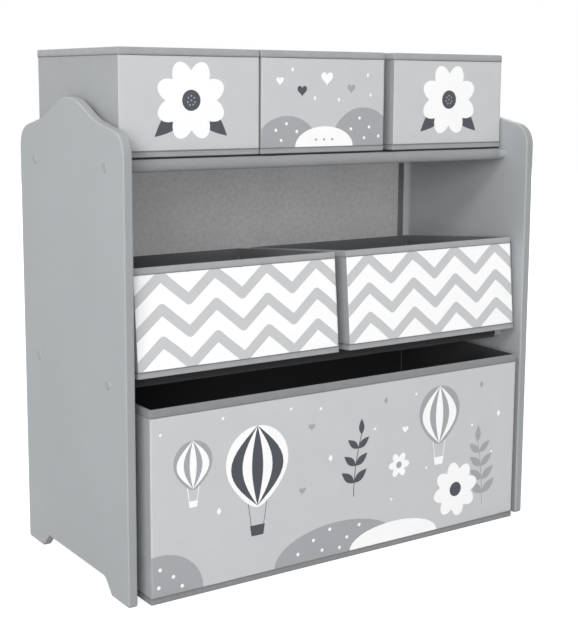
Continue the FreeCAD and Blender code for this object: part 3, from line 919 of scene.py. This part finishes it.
def cloth_strip(name, path, half_width, waves, materials, hems):
    """A sheet that follows a path of (y, z) and spans the width, and its length.

    waves gives how far the cloth stands off the path at (x, distance run, share of the path). Each hem on
    its outer side is ("across", share of the path) or ("along", x).
    """
    runs = running(path)
    total = runs[-1]
    xs = evenly(-half_width, half_width, round(2 * half_width / CLOTH_STEP))
    ways = []
    for before, after in zip([path[0], *path], [*path[1:], path[-1]]):
        way = Vector((after[0] - before[0], after[1] - before[1])).normalized()
        ways.append(Vector((-way.y, way.x)))

    def stand_off(x, place, way, run, offset):
        stand = waves(x, run, run / total) + offset
        return Vector((x, place[0] + way.x * stand, place[1] + way.y * stand))

    def layer(offset):
        return [[stand_off(x, *station, offset) for x in xs] for station in zip(path, ways, runs)]

    def on_cloth(x, run):
        run = min(max(run, 0.0), total - 1e-6)
        k = max(i for i, r in enumerate(runs[:-1]) if r <= run)
        share = (run - runs[k]) / (runs[k + 1] - runs[k])
        place = [a + share * (b - a) for a, b in zip(path[k], path[k + 1])]
        way = ways[k].lerp(ways[k + 1], share)
        return stand_off(x, place, way, run, CLOTH / 2), Vector((0, *way))

    builder = Builder()
    looped = layer(CLOTH / 2) + layer(-CLOTH / 2)[::-1]
    up = running([row[0] for row in [*looped, looped[0]]])
    builder.add_grid(looped, xs, up, [0] * len(looped), looped=True)
    width, count = len(xs), len(path)
    for column in (0, width - 1):
        for k in range(count - 1):
            mirrored = 2 * count - 1 - k
            a, b, c, d = [row * width + column for row in (k, k + 1, mirrored - 1, mirrored)]
            corners = (a, d, c, b) if column else (a, b, c, d)
            builder.faces.append((corners, [builder.points[i].yz for i in corners], 0))
    for kind, place in hems:
        if kind == "across":
            add_seam(builder, lambda run: on_cloth(xs[0] + run, place * total), xs[-1] - xs[0], HEM_STITCH, 1)
        else:
            add_seam(builder, lambda run: on_cloth(place, run), total, HEM_STITCH, 1)
    return builder.make(name, materials), total


def tube_pair(level):
    """The names of a level's front and rear tube, each axis in (y, z), and the radius of a sleeve."""
    names = [f"{level}_front_tube", f"{level}_rear_tube"]
    boxes = [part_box(node) for node in names]
    front, rear = [Vector(((low.y + high.y) / 2, (low.z + high.z) / 2)) for low, high in boxes]
    ring = (boxes[0][1].z - boxes[0][0].z) / 2 + SLEEVE_SLACK + CLOTH / 2
    return names, front, rear, ring


def wrap(centre, radius, first, last):
    """Points round a tube, from one angle to the other in degrees, 0 towards +Y and 90 upwards."""
    angles = arc_angles(first, last, 26)
    return [(centre.x + radius * math.cos(a), centre.y + radius * math.sin(a)) for a in angles]


def make_sling(level, path, flat_share, fine, seed, seam, materials):
    """A shelf. Its waves are whole on the sleeves, and a share of that on the flat between them."""

    def waves(x, run, share):
        sleeve = 1.0 if share < 0.13 or share > 0.87 else flat_share
        coarse = 0.3 * MM * sleeve * ripple(x * 0.6, run, seed, 26 * MM)
        return coarse + fine * ripple(x, run, seed + 1, 9 * MM)

    node = f"{level}_shelf_sling"
    low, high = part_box(node)
    half = (high.x - low.x) / 2
    hems = [("across", seam), ("along", half - SIDE_HEM), ("along", SIDE_HEM - half)]
    piece, length = cloth_strip(f"{level}_shelf_cloth", path, half, waves, materials, hems)
    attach(piece, FRAME_BODY)
    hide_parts(node)


def make_top_shelf(materials):
    """The top shelf: sewn round the front tube, slack across, and over and round the rear tube."""
    tubes, front, rear, ring = tube_pair("upper")
    path = wrap(front, ring, -20, -270)
    sag = 2.6 * MM
    for share in evenly(0, 1, 22)[1:-1]:
        y = front.x + (rear.x - front.x) * share
        path.append((y, front.y + ring - sag * math.sin(math.pi * share) ** 0.7))
    path += wrap(rear, ring, 90, -160)
    make_sling("top", path, 0.25, 0.12 * MM, 11, 0.965, materials)


def make_middle_shelf(materials):
    """The middle shelf: sewn round the front tube, falling to the back, and up round the rear tube."""
    tubes, front, rear, ring = tube_pair("lower")
    bin_shape = BinShape("medium_left")
    tilt = math.degrees(math.atan2(bin_shape.matrix[2][1], bin_shape.matrix[1][1]))
    path = wrap(front, ring, -40, -270 + tilt)
    floor_end = bin_shape.matrix @ Vector((0, bin_shape.depth, 0))
    low = Vector((floor_end.y + 1.5 * MM, floor_end.z - 1.4 * MM))
    start = Vector(path[-1])
    for share in evenly(0, 1, 20)[1:]:
        spot = start.lerp(low, share)
        path.append((spot.x, spot.y - 0.9 * MM * math.sin(math.pi * share)))
    path += wrap(rear, ring, -110, 150)
    make_sling("middle", path, 0.2, 0.1 * MM, 21, 0.97, materials)


def make_back(cloth, tape, thread):
    """The back panel with its bound sides."""
    low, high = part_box("back_panel")
    middle = (low.y + high.y) / 2
    path = [(middle, z) for z in evenly(low.z, high.z, 34)]

    def waves(x, run, share):
        inner = math.sin(math.pi * share)
        slack = -0.9 * MM * inner * abs(ripple(x, run, 31, 120 * MM))
        return slack - 0.35 * MM * inner * ripple(x, run, 32, 40 * MM)

    half = high.x
    hems = [("along", side * (half - inset)) for inset in (3 * MM, 9 * MM) for side in (1, -1)]
    piece, length = cloth_strip("back_cloth", path, half, waves, [cloth, thread], hems)
    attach(piece, FRAME_BODY)
    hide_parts("back_panel")
    make_back_tape("left", 1, [tape, thread])
    make_back_tape("right", -1, [tape, thread])


def make_back_tape(side, inward, materials):
    """A folded tape down one side of the back panel, sewn near its inner edge."""
    node = f"back_{side}_binding"
    low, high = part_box(node)
    middle, centre = (low.x + high.x) / 2, (low.y + high.y) / 2
    half, thick = (high.x - low.x) / 2, (high.y - low.y) / 2
    tall = high.z - low.z
    steps = 40
    section = [
        (x + thick * math.cos(a), thick * math.sin(a))
        for x, first in ((half - thick, -90), (thick - half, 90))
        for a in arc_angles(first, first + 180, 6)
    ]
    rows = []
    for z in evenly(low.z, high.z, steps):
        sway = 0.25 * MM * ripple(z, 0.0, 41, 30 * MM)
        rows.append([Vector((middle + x + sway, centre + y, z)) for x, y in section])
    builder = Builder()
    builder.add_solid(rows, running([*section, section[0]]), evenly(0, tall, steps), [0] * (steps + 2))

    def path(run):
        return Vector((middle + inward * (half - 2 * MM), centre - thick, low.z + run)), Vector((0, -1, 0))

    add_seam(builder, path, tall, HEM_STITCH, 1)
    piece = builder.make(f"back_{side}_tape", materials)
    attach(piece, FRAME_BODY)
    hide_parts(node)


# -------- stage, light and camera

FLOOR_HALF_SIZE = 6.0
FLOOR_GLOW = 0.8
AMBIENT = 0.16


def make_floor():
    """A pale floor that glows for the camera alone, so that only its darkest shade shows."""
    ends = (-FLOOR_HALF_SIZE, FLOOR_HALF_SIZE)
    builder = Builder()
    builder.add_grid([[Vector((x, y, -0.2 * MM)) for x in ends] for y in ends], (0, 1), (0, 1), [0])
    shader = Shader("floor", 0.9, 0.1)
    grain = shader.cloud(3.0)
    shader.finish(shader.ramp(grain, (0.2, (0.54, 0.54, 0.54, 1)), (0.8, (0.58, 0.58, 0.58, 1))))
    seen = shader.add("ShaderNodeLightPath").outputs["Is Camera Ray"]
    glow = shader.spread(seen, 0.0, FLOOR_GLOW)
    shader.fill(shader.surface, {"Emission Color": WHITE_LIGHT, "Emission Strength": glow})
    builder.make("floor", [shader.material])


def make_world():
    """Soft even light all round, seen by the camera and in reflections as white."""
    world = bpy.data.worlds.new("studio")
    bpy.context.scene.world = world
    sky = Nodes(world, "Background")
    path = sky.add("ShaderNodeLightPath").outputs
    seen = sky.total(path["Is Camera Ray"], path["Is Transmission Ray"], path["Is Glossy Ray"])
    sky.fill(sky.surface, {"Color": WHITE_LIGHT, "Strength": sky.spread(seen, AMBIENT, 1.0)})


LIT_POINT = Vector((0, 0, 0.35))
LAMP_DISTANCE = 8
LAMPS = (  # name, degrees to the left of the front, degrees up, size, level
    ("key_light", 60, 27.7, 1.8, 0.27),
    ("fill_light", 36, 9, 3.9, 0.68),
    ("front_light", -30, 12, 3.9, 0.1),
    ("rear_left_light", 120, 20, 3.9, 0.17),
    ("rear_right_light", -135, 15, 3.9, 0.5),
    ("top_light", 30, 82, 4.4, 0.26),
)


def add_lamp(name, azimuth, elevation, size, level):
    """A square soft box that faces the object. At level 1 it lights a white surface to white."""
    data = bpy.data.lights.new(name, "AREA")
    data.energy = level * (math.pi * LAMP_DISTANCE) ** 2
    data.size = size
    lamp = new_object(name, data)
    side, up = math.radians(azimuth), math.radians(elevation)
    way = Vector((-math.sin(side) * math.cos(up), -math.cos(side) * math.cos(up), math.sin(up)))
    lamp.location = LIT_POINT + way * LAMP_DISTANCE
    lamp.rotation_euler = way.to_track_quat("Z", "Y").to_euler()


CAMERA_PLACE = (-0.96825, -1.44306, 0.61889)
CAMERA_YAW, CAMERA_PITCH, CAMERA_ROLL = 34.08, 8.46, -0.34
IMAGE_LONG_SIDE = 638
FOCAL_PIXELS = 1270.55
SHIFT_PIXELS = -46.39


def make_camera():
    """The photograph's view: from the front left, just above the middle, looking slightly down."""
    data = bpy.data.cameras.new("camera")
    data.sensor_width = 36.0
    data.lens = FOCAL_PIXELS * data.sensor_width / IMAGE_LONG_SIDE
    data.shift_y = SHIFT_PIXELS / IMAGE_LONG_SIDE
    camera = new_object("camera", data)
    turn = Matrix.Rotation(math.radians(-CAMERA_YAW), 4, "Z")
    turn @= Matrix.Rotation(math.radians(90 - CAMERA_PITCH), 4, "X")
    turn @= Matrix.Rotation(math.radians(-CAMERA_ROLL), 4, "Z")
    camera.matrix_world = Matrix.Translation(CAMERA_PLACE) @ turn
    bpy.context.scene.camera = camera


# -------- the whole scene

DESIGNS = {
    "small_left": daisy_design,
    "small_middle": hills_design,
    "small_right": daisy_design,
    "medium_left": zigzag_design,
    "medium_right": zigzag_design,
    "large": meadow_design,
}


def dress_frame():
    """The panels, tubes, inserts, bolts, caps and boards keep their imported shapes."""
    materials = {
        # The side panels' paint gets painted shade on its front and rear edges.
        "side_panel": paint_material("grey_paint", PAINT, facing_shade_tone=FACING_SHADE_TONE),
        "tube": paint_material("tube_paint", TUBE_PAINT, 0.35),
        "inserts": plastic_material("insert_plastic", INSERT_PLASTIC),
        "bolts": metal_material("bolt_zinc", ZINC, 0.32),
        "caps": plastic_material("cap_plastic", CAP_PLASTIC, 0.6),
        "base_board": felt_material("board_cover", BOARD_COVER, 0.1),
    }
    for name, piece in frame["nodes"].items():
        for ending, material in materials.items():
            if name.endswith(ending):
                piece.data.materials.clear()
                piece.data.materials.append(material)


def make_bins():
    """All six bins."""
    # The second band is the tapes' dark seam band: painted shade.
    bands = [thread_material("tape_thread", TAPE_THREAD), tape_material("tape_seam_painted_shade", TAPE_SEAM_SHADE)]
    tape, large_tape = tape_material("binding_tape", TAPE), tape_material("large_binding_tape", LARGE_TAPE)
    side = linen_material("side_cloth", SIDE_CLOTH, 0.042)
    # Dark cloth for the bins' bottoms and rounded feet: painted shade.
    underside = felt_material("underside_painted_shade", UNDERSIDE_SHADE, 0.06)
    ground = print_material("print_ground", PRINT_GROUND)
    white = print_material("print_white", PRINT_WHITE, 0.004)
    mid = print_material("print_mid_grey", PRINT_MID)
    dark = print_material("print_dark_grey", PRINT_DARK, 0.02)
    zigzag = print_material("print_zigzag_grey", ZIGZAG_GREY)
    large_lining = felt_material("large_lining", LARGE_LINING, 0.08)
    other_lining = felt_material("other_lining", OTHER_LINING, 0.07)
    for name, design in DESIGNS.items():
        shape = BinShape(name)
        lining = large_lining if name == "large" else other_lining
        tapes = [large_tape if name == "large" else tape, *bands, lining]
        make_shell(shape, [side, lining, underside, bands[0]])
        make_rim_tape(shape, tapes)
        make_foot_tape(shape, tapes)
        make_print(shape, design, [ground, white, zigzag if design is zigzag_design else mid, dark])


def make_fabric():
    """The shelves and the back."""
    thread = thread_material("shelf_thread", SHELF_THREAD)
    make_top_shelf([felt_material("top_shelf_cloth", TOP_SHELF_CLOTH, 0.035), thread])
    make_middle_shelf([felt_material("middle_shelf_cloth", MIDDLE_SHELF_CLOTH, 0.06), thread])
    # The back cloth glows at half strength with its own colour: painted light.
    back = felt_material("back_cloth", BACK_CLOTH, 0.13, 150.0, 0.9, painted_glow=0.5)
    # The back's tapes are drawn darker: painted shade.
    make_back(back, tape_material("back_tape", BACK_TAPE_SHADE), thread)


dress_frame()
make_bins()
make_fabric()
make_floor()
make_world()
for lamp in LAMPS:
    add_lamp(*lamp)
make_camera()
bpy.context.scene.view_settings.view_transform = "Standard"
